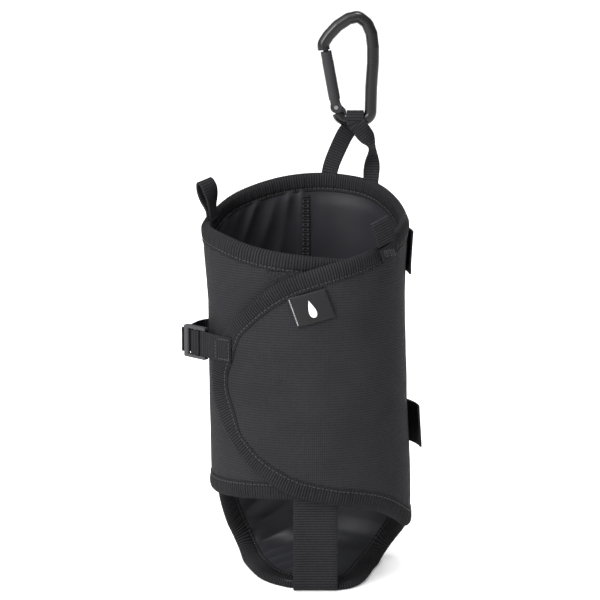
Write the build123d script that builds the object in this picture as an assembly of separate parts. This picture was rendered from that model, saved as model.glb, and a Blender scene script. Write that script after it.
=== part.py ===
from build123d import *
import math
import os

# Wrap-around padded bottle sleeve with a bound rim, a foot tongue, a strap adjuster and a
# carabiner on a webbing loop. Millimetres, +Z up, the foot's underside at z = 0, the front
# (foot strap) towards -Y. Angles run from the front (0) to the right side (+90).

# Sleeve
A, B = 58.0, 50.0              # outer half-widths across X and Y
FLAP_A = 63.8                  # the flap's wider half-width where it laps over the wing
WING_A, WING_B = 52.4, 44.4    # the wing is tucked in by this much under the flap
WING_END = 36.0                # x of the wing's free end, hidden under the flap
SHELL, FOAM, LINER = 0.8, 3.0, 0.6
WALL = SHELL + FOAM + LINER
TAPE = 0.5                     # binding tape thickness
CAP = 0.6                      # binding tape over the cut edge
BIND = 10.0                    # depth of the folded binding

# Finished edges in the front view, (x, z)
BACK_TOP = [(-64, 199), (-58, 204.8), (-48.7, 213.2), (-34.6, 219.2), (-17.3, 223.3), (0, 225.2),
            (11.7, 225.4), (23.3, 224.7), (40.4, 222), (51.5, 216.5), (55.7, 212.4), (58, 208.5), (64, 199)]
WING_TOP = [(-64, 206.5), (-58, 204.8), (-50.1, 203), (-38.8, 199.6), (-27.7, 196.9), (-16.7, 195.1),
            (-5.7, 193.8), (5.2, 192.6), (30, 190), (64, 187)]
HEM = [(-64, 50), (-55.4, 51.3), (-31.5, 54.2), (-10.2, 55), (16, 53.1), (35.8, 48.1), (45.2, 42.6),
       (53.6, 34.4), (57, 30.1), (64, 21)]
FLAP = [(64, 215), (58, 208.5), (54.5, 205), (49.7, 202), (38.3, 196.6), (21.6, 192.3), (5.2, 188.2),
        (-11.2, 182.5), (-24.9, 174.6), (-38.8, 162), (-45.6, 153.6), (-49.6, 147), (-53.7, 138.6),
        (-55.8, 131.2), (-56.4, 124), (-56.3, 116), (-54.6, 105.5), (-49.4, 92.5), (-42.1, 81.4),
        (-33.6, 72.3), (-22.4, 64.9), (-11.3, 59.8), (-0.1, 56.6), (16, 53.1), (35.8, 48.1),
        (45.2, 42.6), (53.6, 34.4), (57, 30.1), (64, 21)]
FLAP_STITCH = [(64, 204), (58, 197.8), (54.6, 194.4), (41.1, 188.6), (21.7, 183.2), (5.2, 178.9),
               (-11.2, 172.8), (-24.9, 164.8), (-36, 155.6), (-42.2, 148.2), (-45.9, 139.3), (-47.6, 131),
               (-47.8, 121), (-46, 109), (-40.9, 95.3), (-33, 83.6), (-22.4, 75.2), (-5.7, 68.3),
               (16.6, 64), (33.5, 59.6), (45.1, 53.8), (56.8, 42), (64, 33)]

# Foot tongue: margins in the front view (x, z), floor in plan (x, y)
FOOT_R = 16.0                  # bend from the back wall into the floor
FOOT_LEFT = [(-56, 62), (-55.4, 50), (-54, 38.5), (-51.4, 27), (-48.2, 17), (-45.4, 10), (-42.8, 4), (-39.8, -2)]
FOOT_RIGHT = [(40, -2), (42.6, 1), (45.6, 4.4), (49.2, 9), (52.9, 15.1), (55.8, 21.5), (57.5, 29), (57.8, 42),
              (57.6, 62)]
FLOOR_EDGE = [(-39.8, 20), (-38, 11.5), (-35.8, 3.5), (-33.9, -4), (-31.4, -12), (-27.6, -19.5),
              (-22, -26.5), (-14.5, -32), (-5.7, -35.5), (3, -37.3), (10, -37.8), (16, -37.5), (21.5, -35.8),
              (25.8, -32.4), (29.3, -27.6), (32.2, -21.6), (34.8, -13), (36.9, -4), (39, 4), (41.2, 12)]

# Webbing
STRAP_X, STRAP_W, STRAP_T = 3.0, 25.0, 1.3     # foot strap
BAND_W, BAND_T = 25.0, 1.3                     # bands behind the right side
PATCH_Z = (154.0, 182.0)                       # loop patch on the wing, low and high edge
HOOK_TOP = 166.0                               # top of its hook patch inside the flap
UPPER_Z, LOWER_Z = 187.5, 85.0                 # middle heights of the two bands
LOOP_W, LOOP_T = 10.0, 1.4                     # hang loop and left utility loop
LEFT_LOOP_DEG, LEFT_LOOP_Z = -104.0, 210.9     # where the left loop leaves the rim
TAB_W, TAB_T = 14.5, 1.2                       # tab that holds the ladder lock
ADJ_T = 1.0                                    # adjuster strap thickness
ADJ_Z = 139.6                                  # its middle height

# Carabiner, in the plane y = CLIP_Y
CLIP_Y = 45.0
STRAP_ON_ROD = 26.15                            # x where the hang loop crosses the rod
ROD_R = 3.5
ROD_Z = 257.3                                  # middle of the straight bottom rod
CLIP_PATH = [(16.3, 260.8), (17.6, 257.3), (34.9, 257.3), (35.3, 276), (36.2, 290), (36.2, 299), (35.2, 307),
             (32.6, 313), (27.9, 316.6), (22, 315.3), (15.8, 311.2), (10.6, 305.6), (7.6, 301), (8.0, 297.6)]
PIN_AT = (15.1, 264.6)                         # gate pivot (x, z)
GATE_TOP = (9.2, 296.6)                        # where the gate meets the nose
GATE_R = 3.3
PIN_R = 1.15
FIT = 0.05

# Ladder lock, placed by its inner bar
BAR_AT = (-59.4, -20.2)
BUCKLE_DEG = 43.0
BAR_R = 1.3
BARS = (0.0, 6.6, 13.2)
LOCK_H, LOCK_T = 18.4, 2.6
RAIL_W = 1.7

os.makedirs("parts", exist_ok=True)
nodes = {}


def on_wall(deg, out, a=A, b=B):
    """Point at an angle round the sleeve, a distance outside the outer face."""
    t = math.radians(deg)
    return (a + out) * math.sin(t), -(b + out) * math.cos(t)


def wall(quarters, outer, inner):
    """Upright wall between two depths, made of quarter ellipses (a, b, sign x, sign y)."""
    body = None
    for a, b, sx, sy in quarters:
        ring = Ellipse(a - outer, b - outer) - Ellipse(a - inner, b - inner)
        piece = extrude(ring & Pos(sx * 50, sy * 50) * Rectangle(100, 100), 240)
        body = piece if body is None else body + piece
    return body


def prism(edges):
    """Front-view outline pushed through the whole depth of the sleeve."""
    return extrude(Plane.XZ * make_face(edges), 90, both=True)


def between(top, bottom, trim=0.0):
    """Everything between two front-view edges, each drawn in by the trim."""
    up = Spline([(x, z - trim) for x, z in top])
    low = Spline([(x, z + trim) for x, z in bottom])
    return prism([up, Line(up @ 1, low @ 1), low, Line(low @ 0, up @ 0)])


def drawn_in(points, d):
    """The same path moved by d to its left-hand side."""
    moved = []
    for i, (x, y) in enumerate(points):
        x0, y0 = points[max(i - 1, 0)]
        x1, y1 = points[min(i + 1, len(points) - 1)]
        n = math.hypot(x1 - x0, y1 - y0)
        moved.append((x - d * (y1 - y0) / n, y + d * (x1 - x0) / n))
    return moved


def open_outline(points):
    """Region inside a path whose two ends are joined by a straight line."""
    path = Spline(points)
    return prism([path, Line(path @ 1, path @ 0)])


def left_of(x):
    return Pos(x - 100, 0, 120) * Box(200, 200, 300)


def layers(name, quarters, outline):
    """Shell, foam and liner of one padded panel."""
    depths = [0, SHELL, SHELL + FOAM, WALL]
    for part, d0, d1 in zip(("shell", "foam", "liner"), depths, depths[1:]):
        nodes[f"{name}_{part}"] = wall(quarters, d0, d1) & outline


def binding(quarters, finished, inner, panel):
    """Tape folded over a panel's edge."""
    skin = (wall(quarters, -TAPE, WALL + TAPE) & finished) - inner
    return skin - (wall(quarters, 0, WALL) & panel)


def arc_plate(deg0, deg1, near, far, z0, z1, a=A, b=B):
    """Thin upright plate that follows the wall between two angles."""
    steps = [deg0 + (deg1 - deg0) * i / 8 for i in range(9)]
    outer = Spline([on_wall(t, far, a, b) for t in steps])
    inner = Spline([on_wall(t, near, a, b) for t in steps])
    face = make_face([outer, Line(outer @ 1, inner @ 1), inner, Line(inner @ 0, outer @ 0)])
    return extrude(Pos(0, 0, z0) * face, z1 - z0)


def ribbon(stations, width, thick):
    """Webbing lofted through stations of (point, across)."""
    points = [Vector(*p) for p, _ in stations]
    faces = []
    for i, (p, across) in enumerate(stations):
        along = (points[min(i + 1, len(points) - 1)] - points[max(i - 1, 0)]).normalized()
        w = Vector(*across)
        w = (w - along * w.dot(along)).normalized()
        faces.append(Plane(points[i], x_dir=w, z_dir=along) * Rectangle(width, thick))
    return loft(faces, ruled=True)


BACK = [(A, B, 1, 1), (A, B, -1, 1)]
WING = [(A, WING_B, -1, -1), (WING_A, WING_B, 1, -1)]
WRAP = [(A, B, 1, -1), (FLAP_A, B, -1, -1)]


def panels():
    back_panel = between(BACK_TOP, HEM, CAP)
    layers("back", BACK, back_panel)
    under_rim = between([(x, z - BIND) for x, z in BACK_TOP], [(-64, 0), (0, 0), (64, 0)])
    over_hem = between([(-64, 240), (0, 240), (64, 240)], [(x, z + BIND) for x, z in HEM])
    back = between(BACK_TOP, HEM)
    middle = Pos(0, 0, 120) * Box(200, 200, 40)
    ends = binding(BACK, back, under_rim & over_hem, back_panel) - middle
    nodes["back_rim_binding"] = ends & Pos(0, 0, 190) * Box(200, 200, 110)
    nodes["back_hem_binding"] = ends & Pos(0, 0, 50) * Box(200, 200, 110)

    wing_panel = between(WING_TOP, HEM, CAP) & left_of(WING_END - CAP)
    layers("wing", WING, wing_panel)
    finished = between(WING_TOP, HEM) & left_of(WING_END)
    inner = between(WING_TOP, HEM, BIND) & left_of(WING_END - BIND)
    nodes["wing_binding"] = binding(WING, finished, inner, wing_panel)

    flap_panel = open_outline(drawn_in(FLAP, CAP))
    layers("flap", WRAP, flap_panel)
    nodes["flap_binding"] = binding(WRAP, open_outline(FLAP), open_outline(FLAP_STITCH), flap_panel)

    tape = arc_plate(-173, -186, -WALL - 0.65, -WALL - 0.05, 67, 213)
    nodes["seam_tape"] = tape


def cup(d):
    """Sleeve section carried down to a rounded floor, drawn in by d."""
    body = extrude(Pos(0, 0, d) * Ellipse(A - d, B - d), 64 - d)
    return fillet(body.edges().sort_by(Axis.Z)[0], FOOT_R - d)


def tongue_region(d):
    """Front-view margins and floor outline of the foot tongue, drawn in by d."""
    left = Spline(drawn_in(FOOT_LEFT, d))
    right = Spline(drawn_in(FOOT_RIGHT, d))
    margins = prism([left, Line(left @ 1, right @ 0), right, Line(right @ 1, left @ 0)])
    edge = Spline(drawn_in(FLOOR_EDGE, d))
    x0, y0 = edge.position_at(0).X, edge.position_at(0).Y
    x1, y1 = edge.position_at(1).X, edge.position_at(1).Y
    rest = Polyline((x1, y1), (60, y1), (60, 70), (-60, 70), (-60, y0), (x0, y0))
    plan = extrude(Pos(0, 0, -4) * make_face([edge, rest]), 70)
    return margins & plan


def foot():
    below_hem = between(HEM, [(-64, -6), (0, -6), (64, -6)])
    panel = tongue_region(CAP) & below_hem
    depths = [0, SHELL, SHELL + FOAM, WALL]
    for part, d0, d1 in zip(("shell", "foam", "liner"), depths, depths[1:]):
        nodes[f"foot_{part}"] = (cup(d0) - cup(d1)) & panel
    tape = (cup(-TAPE) - cup(WALL + TAPE)) & tongue_region(0) & below_hem
    tape = tape - tongue_region(BIND - 1) - ((cup(0) - cup(WALL)) & panel)
    nodes["foot_binding"] = tape & Pos(0, 0, 50) * Box(200, 200, 100)

    # the strap leaves the wing's bound hem, drops to the floor's front edge and turns under it
    path = FilletPolyline((-42.4, 57), (-39.6, 9), (-39.3, STRAP_T / 2), (-14, STRAP_T / 2), radius=2.6)
    strip = extrude(Plane.YZ * trace(path, STRAP_T), STRAP_W / 2, both=True)
    strap = (Pos(STRAP_X, 0, 0) * strip) & below_hem
    nodes["foot_strap"] = strap & Pos(0, 0, 50) * Box(200, 200, 100)
    for part in ("foot_shell", "foot_foam", "foot_binding"):
        kept = (nodes[part] - nodes["foot_strap"]).solids()
        nodes[part] = max(kept, key=lambda solid: solid.volume)    # slivers left under the strap are dropped


def bands():
    """Two webbing bands round the back, each sewn at one end and closed on a patch at the other."""
    loose = [(202, 1.5), (197, 2.4), (190, 4.6), (183, 5.8), (174, 6.1), (166, 6.2), (158, 6.2)]
    runs = {
        "upper": (UPPER_Z, (101, 118), loose + [(150, 6.1), (142, 5.7), (134, 4.7), (127, 3.5), (120, 2.9),
                                                (113, 2.85), (106, 2.85), (100, 2.85), (95, 2.9), (91, 3.0)]),
        "lower": (LOWER_Z, (124, 140), loose + [(152, 5.2), (147, 3.9), (141, 2.95), (135, 2.85), (129, 2.85),
                                                (123, 2.95), (117, 3.9), (111, 5), (105, 6), (99, 6.7), (95, 6.9)]),
    }
    for name, (z, (p0, p1), run) in runs.items():
        stations = [((*on_wall(t, out), z), (0, 0, 1)) for t, out in run]
        nodes[f"{name}_band"] = ribbon(stations, BAND_W, BAND_T)
        low, high = z - BAND_W / 2, z + BAND_W / 2
        nodes[f"{name}_band_anchor"] = arc_plate(203, 213, 0.1, 0.1 + BAND_T, low, high)
        nodes[f"{name}_loop_patch"] = arc_plate(p0, p1, 0.08, 1.05, low + 1, high - 1)
        nodes[f"{name}_hook_patch"] = arc_plate(p0, p1, 1.1, 2.02, low + 1, high - 1)


def patches():
    """Hook-and-loop pair that keeps the flap's top edge on the wing."""
    low, high = PATCH_Z
    nodes["wing_loop_patch"] = arc_plate(-22, -2, -SHELL, 0.1, low, high, A, WING_B)
    room = arc_plate(-22, -2, -SHELL - 0.01, 1, low, high, A, WING_B)
    nodes["wing_shell"] = nodes["wing_shell"] - room
    nodes["flap_hook_patch"] = arc_plate(-21, -3, -WALL - 0.1, LINER - WALL, low, HOOK_TOP, FLAP_A, B)
    room = arc_plate(-21, -3, -WALL - 1, LINER - WALL, low, HOOK_TOP, FLAP_A, B)
    nodes["flap_liner"] = nodes["flap_liner"] - room


def utility_loops():
    # left: a folded loop standing on the rim, its eye open
    base = Vector(*on_wall(LEFT_LOOP_DEG, -WALL / 2), LEFT_LOOP_Z)
    up = Vector(-0.324, -0.03, 0.946).normalized()
    flat, turned = Vector(0.278, 0.961, 0.27), Vector(0.75, 0.61, 0.22)
    eye = [(0.0, -0.76), (3, -1.3), (6, -2.1), (9, -2.6), (12, -2.7), (14.5, -2.3), (16.6, -1.1), (17.1, 0),
           (16.6, 1.1), (14.5, 2.3), (12, 2.7), (9, 2.6), (6, 2.1), (3, 1.3), (0.0, 0.76)]
    stations = []
    for s, r in eye:
        share = min(1.0, s / 13.0)
        across = (flat * (1 - share) + turned * share).normalized()
        side = up.cross(across).normalized()
        stations.append((tuple(base + up * s + side * r), tuple(across)))
    nodes["left_utility_loop"] = ribbon(stations, LOOP_W, LOOP_T)

    # right: folded flat, its tails sewn on the flap's face, its fold standing above the rim
    foot_pt, rim_pt = Vector(47.4, -31.9, 191.6), Vector(44.9, -34.6, 199.0)
    tangent = (0.74, 0.67, 0.0)
    nodes["right_loop_tails"] = ribbon([(tuple(foot_pt), tangent), (tuple(rim_pt), tangent)], 12.4, 2.0)
    up = Vector(-0.36, -0.05, 0.93).normalized()
    across = Vector(0.80, 0.38, 0.33).normalized()
    n = across.cross(up).normalized()
    fold = [(0.0, -0.62), (4, -0.9), (8, -1.05), (11.5, -1.05), (13.6, -0.7), (14.2, 0), (13.6, 0.7),
            (11.5, 1.05), (8, 1.05), (4, 0.9), (0.0, 0.62)]
    start = rim_pt + up * 1.6
    stations = [(tuple(start + up * s + n * r), tuple(across)) for s, r in fold]
    nodes["right_utility_loop"] = ribbon(stations, 12.0, 1.0)


def label():
    corners = [(-12.8, 171.8), (8.0, 177.4), (14.0, 161.8), (-7.2, 155.6)]
    outline = make_face(Polyline(*corners, close=True))
    nodes["label"] = Pos(0, -51.1, 0) * extrude(Plane.XZ * outline, 0.9)


def adjuster():
    """Tab, ladder lock and the strap threaded through it."""
    t = math.radians(BUCKLE_DEG)
    u, v = Vector(-math.cos(t), math.sin(t), 0), Vector(-math.sin(t), -math.cos(t), 0)
    q = Vector(*BAR_AT, ADJ_Z)
    up = (0, 0, 1)

    # tab: sewn on the flap's edge, out to the inner bar and round it
    turn = BAR_R + 0.15 + TAB_T / 2
    sewn = [((*on_wall(d, TAPE + 0.15 + TAB_T / 2, FLAP_A, B), ADJ_Z), up) for d in (-43, -47, -51, -55, -58)]
    wrap = [(tuple(q + u * turn * math.sin(math.radians(k)) + v * turn * math.cos(math.radians(k))), up)
            for k in range(-20, 185, 20)]
    nodes["buckle_tab"] = ribbon(sewn + wrap, TAB_W, TAB_T)

    # ladder lock: two rails and three bars, with a thumb edge at the outer end
    local = Plane(q, x_dir=u, z_dir=v)
    lock = Pos(BARS[-1] + 0.9, 0, 0.5) * Box(2.0, LOCK_H - 1, 1.4)
    for x in BARS:
        lock = lock + Pos(x, 0, 0) * Rot(90, 0, 0) * Cylinder(BAR_R, LOCK_H - 1)
    for side in (-1, 1):
        rail = Box(BARS[-1] + 2 * BAR_R + 0.8, RAIL_W, LOCK_T)
        rail = fillet(rail.edges().filter_by(Axis.Z), 0.8)
        lock = lock + Pos(BARS[-1] / 2, side * (LOCK_H - RAIL_W) / 2, 0) * rail
    nodes["ladder_lock"] = local * lock

    # strap: under the outer bar, up the first slot, over the middle bar and back out
    run = [(15.8, -3.1), (12, -3.1), (6.4, -3.05), (4.3, -2.5), (3.45, -1.2), (3.45, 0.5), (4.5, 1.75),
           (6.6, 2.05), (8.7, 1.75), (9.75, 0.5), (9.75, -0.9), (11, -1.9), (13.2, -1.95), (15.6, -1.9),
           (17.1, -1.3), (17.6, 0.6)]
    stations = [(tuple(q + u * a + v * b), up) for a, b in run]
    nodes["adjuster_tail"] = ribbon(stations, TAB_W - 0.5, ADJ_T)

    start = q + u * 16.3 - v * 3.1
    side_run = [tuple(start), (-67.6, -0.6, ADJ_Z), (-65.2, 5.4, ADJ_Z), (-62.0, 11.0, ADJ_Z)]
    side_run += [(*on_wall(d, 0.15 + ADJ_T / 2), ADJ_Z) for d in (-109, -114, -119, -124)]
    nodes["adjuster_strap"] = ribbon([(p, up) for p in side_run], TAB_W - 0.5, ADJ_T)


def hang_loop():
    """Webbing from the rim up behind the clip, over its bottom rod, twisted once and down again."""
    turn = ROD_R + 0.5 + LOOP_T / 2
    rim = (0.919, -0.394, -0.09)
    stations = [((11.8, 46.8, 227.0), rim), ((13.6, 47.6, 233.0), (0.95, -0.3, -0.1)),
                ((18.0, 49.2, 243.0), (0.97, -0.1, -0.15)), ((22.6, 49.9, 251.0), (0.99, 0, -0.1))]
    for k in range(100, -101, -20):
        t = math.radians(k)
        over = (STRAP_ON_ROD, CLIP_Y + turn * math.sin(t), ROD_Z + turn * math.cos(t))
        stations.append((over, (1, 0, 0)))
    stations += [((27.6, 40.1, 254.6), (0.97, -0.05, 0.25)), ((30.4, 39.5, 251.0), (0.80, 0.10, 0.55)),
                 ((33.8, 39.2, 246.8), (0.62, 0.62, 0.40)), ((36.2, 38.8, 242.2), (0.35, 0.94, 0.0)),
                 ((36.8, 38.0, 236.2), (0.60, 0.60, 0.0)), ((36.8, 37.0, 230.0), (0.90, 0.10, -0.05)),
                 ((36.6, 36.1, 224.4), rim)]
    nodes["hang_loop"] = ribbon(stations, LOOP_W, LOOP_T)


def carabiner():
    plane = Plane(origin=(0, CLIP_Y, 0), x_dir=(1, 0, 0), z_dir=(0, -1, 0))
    px, pz = PIN_AT
    gx, gz = GATE_TOP
    reach = math.hypot(gx - px, gz - pz)
    g = ((gx - px) / reach, (gz - pz) / reach)

    outline = FilletPolyline(*CLIP_PATH, radius=4.6)
    path = Wire((plane * outline).edges())
    rod = sweep(Plane(origin=path @ 0, z_dir=path % 0) * Circle(ROD_R), path=path)

    # lug round the pin, and the key that the gate closes on
    lug = SlotCenterToCenter(4.2, 5.8, rotation=-45)
    lug = extrude(plane * (Pos(px + 1.48, pz - 1.48) * lug), 1.5, both=True)
    turn = math.degrees(math.atan2(g[1], g[0]))
    key = Pos(gx + 0.4 * g[0], gz + 0.4 * g[1]) * (Rot(0, 0, turn) * Rectangle(9.0, 3.0))
    key = extrude(plane * key, 0.8, both=True)
    hole = extrude(plane * (Pos(px, pz) * Circle(PIN_R + FIT)), 5, both=True)
    nodes["carabiner_frame"] = rod + lug + key - hole

    gate_axis = Plane(origin=(px, CLIP_Y, pz), x_dir=(0, 1, 0), z_dir=(g[0], 0, g[1]))
    gate = gate_axis * (Pos(0, 0, reach / 2) * Cylinder(GATE_R, reach))
    gate = gate + extrude(plane * (Pos(px, pz) * Circle(GATE_R)), 2.9, both=True)
    fork = gate_axis * (Pos(0, 0, 0.3) * Box(3.3, 20, 8.6))
    notch = gate_axis * (Pos(0, 0, reach - 1) * Box(2.0, 20, 9.0))
    bore = gate_axis * (Pos(0, 0, 13) * Cylinder(1.5, 20))
    nodes["carabiner_gate"] = gate - fork - notch - bore - hole
    nodes["gate_pin"] = extrude(plane * (Pos(px, pz) * Circle(PIN_R)), 3.5, both=True)
    nodes["gate_spring"] = gate_axis * (Pos(0, 0, 14.5) * Cylinder(1.4, 15))


panels()
foot()
bands()
patches()
utility_loops()
label()
adjuster()
hang_loop()
carabiner()

for name, shape in nodes.items():
    solids = shape.solids()
    export_step(solids[0] if len(solids) == 1 else Compound(solids), f"parts/{name}.step")
    print(name, len(solids), round(sum(s.volume for s in solids), 1))
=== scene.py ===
import math

import bpy
import numpy as np
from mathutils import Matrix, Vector
from mathutils.bvhtree import BVHTree


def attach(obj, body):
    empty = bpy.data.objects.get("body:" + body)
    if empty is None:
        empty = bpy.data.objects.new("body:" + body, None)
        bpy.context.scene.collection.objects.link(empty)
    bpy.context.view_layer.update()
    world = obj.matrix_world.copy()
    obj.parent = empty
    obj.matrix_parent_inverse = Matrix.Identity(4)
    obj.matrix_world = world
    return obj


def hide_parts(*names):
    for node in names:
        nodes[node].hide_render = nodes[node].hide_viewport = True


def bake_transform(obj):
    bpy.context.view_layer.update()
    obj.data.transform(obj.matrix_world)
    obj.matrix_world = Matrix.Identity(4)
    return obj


# Looks of the wrap-around padded bottle sleeve. Helpers work in millimetres in the shared
# frame; meshes are made in metres. Angles run from the front (0) to the right side (+90).

MM = 0.001
A, B = 58.0, 50.0              # outer half-widths of the sleeve
FLAP_A = 63.8                  # the flap's wider half-width at the left
WING_A, WING_B = 52.4, 44.4    # the wing tucked under the flap
SHELL, LINER, WALL = 0.8, 0.6, 4.4      # thickness of the two cloths and of the whole panel
HALF = WALL / 2
LAYERS = {"shell": (0.0, SHELL), "foam": (SHELL, WALL - LINER), "liner": (WALL - LINER, WALL)}
TAPE = 0.5                     # binding tape thickness
BIND = 10.0                    # depth of the folded binding
GROOVE = 1.7                   # the binding's stitch line, from the tape's edge
SQUEEZE = 0.6                  # how far the stitches pull the tape in
TUCK = 1.8                     # how far a panel's cut edge stays inside its binding
RIB, RIB_HIGH = 1.6, 0.2       # rib pitch and height of the grosgrain tape
WING_END = 36.0                # x of the wing's free end
WEB, WEB_THICK = 25.0, 1.3     # wide webbing of the bands; the foot strap is as wide
ADJUSTER, ADJUSTER_THICK = 14.0, 0.95      # the adjuster's webbing

# Finished edges in the front view, (x, z)
BACK_TOP = [(-64, 199), (-58, 204.8), (-48.7, 213.2), (-34.6, 219.2), (-17.3, 223.3), (0, 225.2),
            (11.7, 225.4), (23.3, 224.7), (40.4, 222), (51.5, 216.5), (55.7, 212.4), (58, 208.5), (64, 199)]
WING_TOP = [(-64, 206.5), (-58, 204.8), (-50.1, 203), (-38.8, 199.6), (-27.7, 196.9), (-16.7, 195.1),
            (-5.7, 193.8), (5.2, 192.6), (30, 190), (64, 187)]
HEM = [(-64, 50), (-55.4, 51.3), (-31.5, 54.2), (-10.2, 55), (16, 53.1), (35.8, 48.1), (45.2, 42.6),
       (53.6, 34.4), (57, 30.1), (64, 21)]
FLAP = [(64, 215), (58, 208.5), (54.5, 205), (49.7, 202), (38.3, 196.6), (21.6, 192.3), (5.2, 188.2),
        (-11.2, 182.5), (-24.9, 174.6), (-38.8, 162), (-45.6, 153.6), (-49.6, 147), (-53.7, 138.6),
        (-55.8, 131.2), (-56.4, 124), (-56.3, 116), (-54.6, 105.5), (-49.4, 92.5), (-42.1, 81.4),
        (-33.6, 72.3), (-22.4, 64.9), (-11.3, 59.8), (-0.1, 56.6), (16, 53.1), (35.8, 48.1),
        (45.2, 42.6), (53.6, 34.4), (57, 30.1), (64, 21)]
FOOT_LEFT = [(-56, 62), (-55.4, 50), (-54, 38.5), (-51.4, 27), (-48.2, 17), (-45.2, 10), (-42, 4),
             (-38.4, -2)]
FOOT_RIGHT = [(39, -2), (42.2, 1), (45.4, 4.4), (49.2, 9), (52.9, 15.1), (55.8, 21.5), (57.5, 29),
              (57.8, 42), (57.6, 62)]
FOOT_TOP, FOOT_LAP = 60.0, 3.0      # the tongue's upper limit, and how far it laps the hem
FOOT_R = 16.0                       # radius of the turn from wall to floor

# The tongue's edge on the floor between its two margins, (x, y), and the ends of its front part
FLOOR_EDGE = [(-37.6, 8), (-35.8, 2), (-33.9, -4), (-31.4, -12), (-27.6, -19.5), (-22, -26.5),
              (-14.5, -32), (-5.7, -35.5), (3, -37.3), (10, -37.8), (16, -37.5), (21.5, -35.8),
              (25.8, -32.4), (29.2, -27.4), (31.8, -21.2), (34, -13), (36, -4.5), (38.2, 3)]
TIP_LEFT, TIP_RIGHT = -13, 23

# How far the sleeve's sides sit from the plain ellipse in x, (z, shift)
WAIST_RIGHT = [(30, 0), (55, -0.2), (75, -0.8), (102, -2.6), (130, -3.6), (165, -4.4), (182, -4.2),
               (206, -2.8), (228, -2), (250, 0)]
WAIST_LEFT = [(20, 0), (45, 0.8), (60, 1.4), (90, 0.8), (120, 0.4), (160, 0.3), (172, -0.4), (183, -1.4),
              (195, -2.3), (206, -3.2), (213, -1.6), (224, -0.2), (250, 0)]

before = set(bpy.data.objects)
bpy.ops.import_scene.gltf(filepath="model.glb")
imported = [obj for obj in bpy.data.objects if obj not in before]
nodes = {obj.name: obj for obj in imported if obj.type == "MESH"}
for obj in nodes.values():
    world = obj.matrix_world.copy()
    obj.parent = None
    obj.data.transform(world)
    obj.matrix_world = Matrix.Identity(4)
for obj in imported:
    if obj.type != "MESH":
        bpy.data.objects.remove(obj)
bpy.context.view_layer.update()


# ---------------------------------------------------------------- geometry helpers

def lengths(points):
    """Distance along a path at each of its points."""
    return np.concatenate([[0], np.cumsum(np.linalg.norm(np.diff(points, axis=0), axis=1))])


def sampled(at, s, points):
    """Points of a path at the distances at, where s are the distances of the points given."""
    return np.stack([np.interp(at, s, points[:, k]) for k in range(points.shape[1])], -1)


def spline(points, n):
    """Natural cubic spline through the points, sampled evenly by chord length."""
    p = np.array(points, float)
    t = lengths(p)
    m = len(p)
    h = np.diff(t)
    lhs, rhs = np.eye(m), np.zeros_like(p)
    for i in range(1, m - 1):
        lhs[i, i - 1:i + 2] = h[i - 1], 2 * (h[i - 1] + h[i]), h[i]
        rhs[i] = 6 * ((p[i + 1] - p[i]) / h[i] - (p[i] - p[i - 1]) / h[i - 1])
    k = np.linalg.solve(lhs, rhs)
    s = np.linspace(0, t[-1], n)
    i = np.clip(np.searchsorted(t, s, side="right") - 1, 0, m - 2)
    a, b = ((t[i + 1] - s) / h[i])[:, None], ((s - t[i]) / h[i])[:, None]
    bend = ((a ** 3 - a) * k[i] + (b ** 3 - b) * k[i + 1]) * (h[i] ** 2)[:, None] / 6
    return a * p[i] + b * p[i + 1] + bend


def resample(points, step):
    """The same path with points an even step apart."""
    s = lengths(points)
    return sampled(np.linspace(0, s[-1], max(3, int(round(s[-1] / step)) + 1)), s, points)


def smooth(a, b, x):
    t = np.clip((x - a) / (b - a), 0, 1)
    return t * t * (3 - 2 * t)


def unit(v):
    n = np.linalg.norm(v, axis=-1, keepdims=True)
    return v / np.where(n < 1e-9, 1, n)


def noise(x, y, seed):
    """Smooth seeded noise: a sum of waves in random directions, about -1 to 1."""
    r = np.random.default_rng(seed)
    total = 0
    for _ in range(14):
        ang, k, ph = r.uniform(0, 2 * math.pi), r.uniform(0.5, 1.6), r.uniform(0, 2 * math.pi)
        total = total + np.sin(k * (x * math.cos(ang) + y * math.sin(ang)) + ph)
    return total / 5.0


def edge_z(points):
    """Height of a front-view edge as a function of x."""
    curve = spline(points, 1200)
    order = np.argsort(curve[:, 0])
    return lambda x: np.interp(x, curve[order, 0], curve[order, 1])


class Wall:
    """Upright elliptical wall, unrolled: s is arc length along it, z is height.

    It runs from angle deg0 to deg1, and half_widths(angle) gives its (a, b) there."""

    def __init__(self, deg0, deg1, half_widths):
        self.deg = np.linspace(deg0, deg1, 2400)
        t = np.radians(self.deg)
        self.a, self.b = np.array([half_widths(d) for d in self.deg]).T
        self.x, self.y = self.a * np.sin(t), -self.b * np.cos(t)
        self.s = lengths(np.stack([self.x, self.y], 1))

    def s_of_x(self, x):
        order = np.argsort(self.x)
        return np.interp(x, self.x[order], self.s[order])

    def deg_of_s(self, s):
        return np.interp(s, self.s, self.deg)

    def x_of_s(self, s):
        return np.interp(s, self.s, self.x)

    def normal(self, s):
        t = np.radians(self.deg_of_s(s))
        a, b = np.interp(s, self.s, self.a), np.interp(s, self.s, self.b)
        return unit(np.stack([np.sin(t) / a, -np.cos(t) / b, 0 * t], -1))

    def at(self, s, z, out=0.0):
        """Point on the wall, out millimetres outside its outer face."""
        s, z = np.broadcast_arrays(np.asarray(s, float), np.asarray(z, float))
        x, y = np.interp(s, self.s, self.x), np.interp(s, self.s, self.y)
        return np.stack([x, y, z], -1) + self.normal(s) * np.asarray(out, float)[..., None]


def slumped(points):
    """Soft parts as they sit: waisted on the right, a little flared at the rim on the left."""
    p = np.array(points, float)
    x, z = p[:, 0].copy(), p[:, 2]
    right = np.interp(z, *zip(*WAIST_RIGHT)) * smooth(5, 58, x)
    left = np.interp(z, *zip(*WAIST_LEFT)) * smooth(-5, -58, x)
    p[:, 0] = x + right + left
    return p


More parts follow.
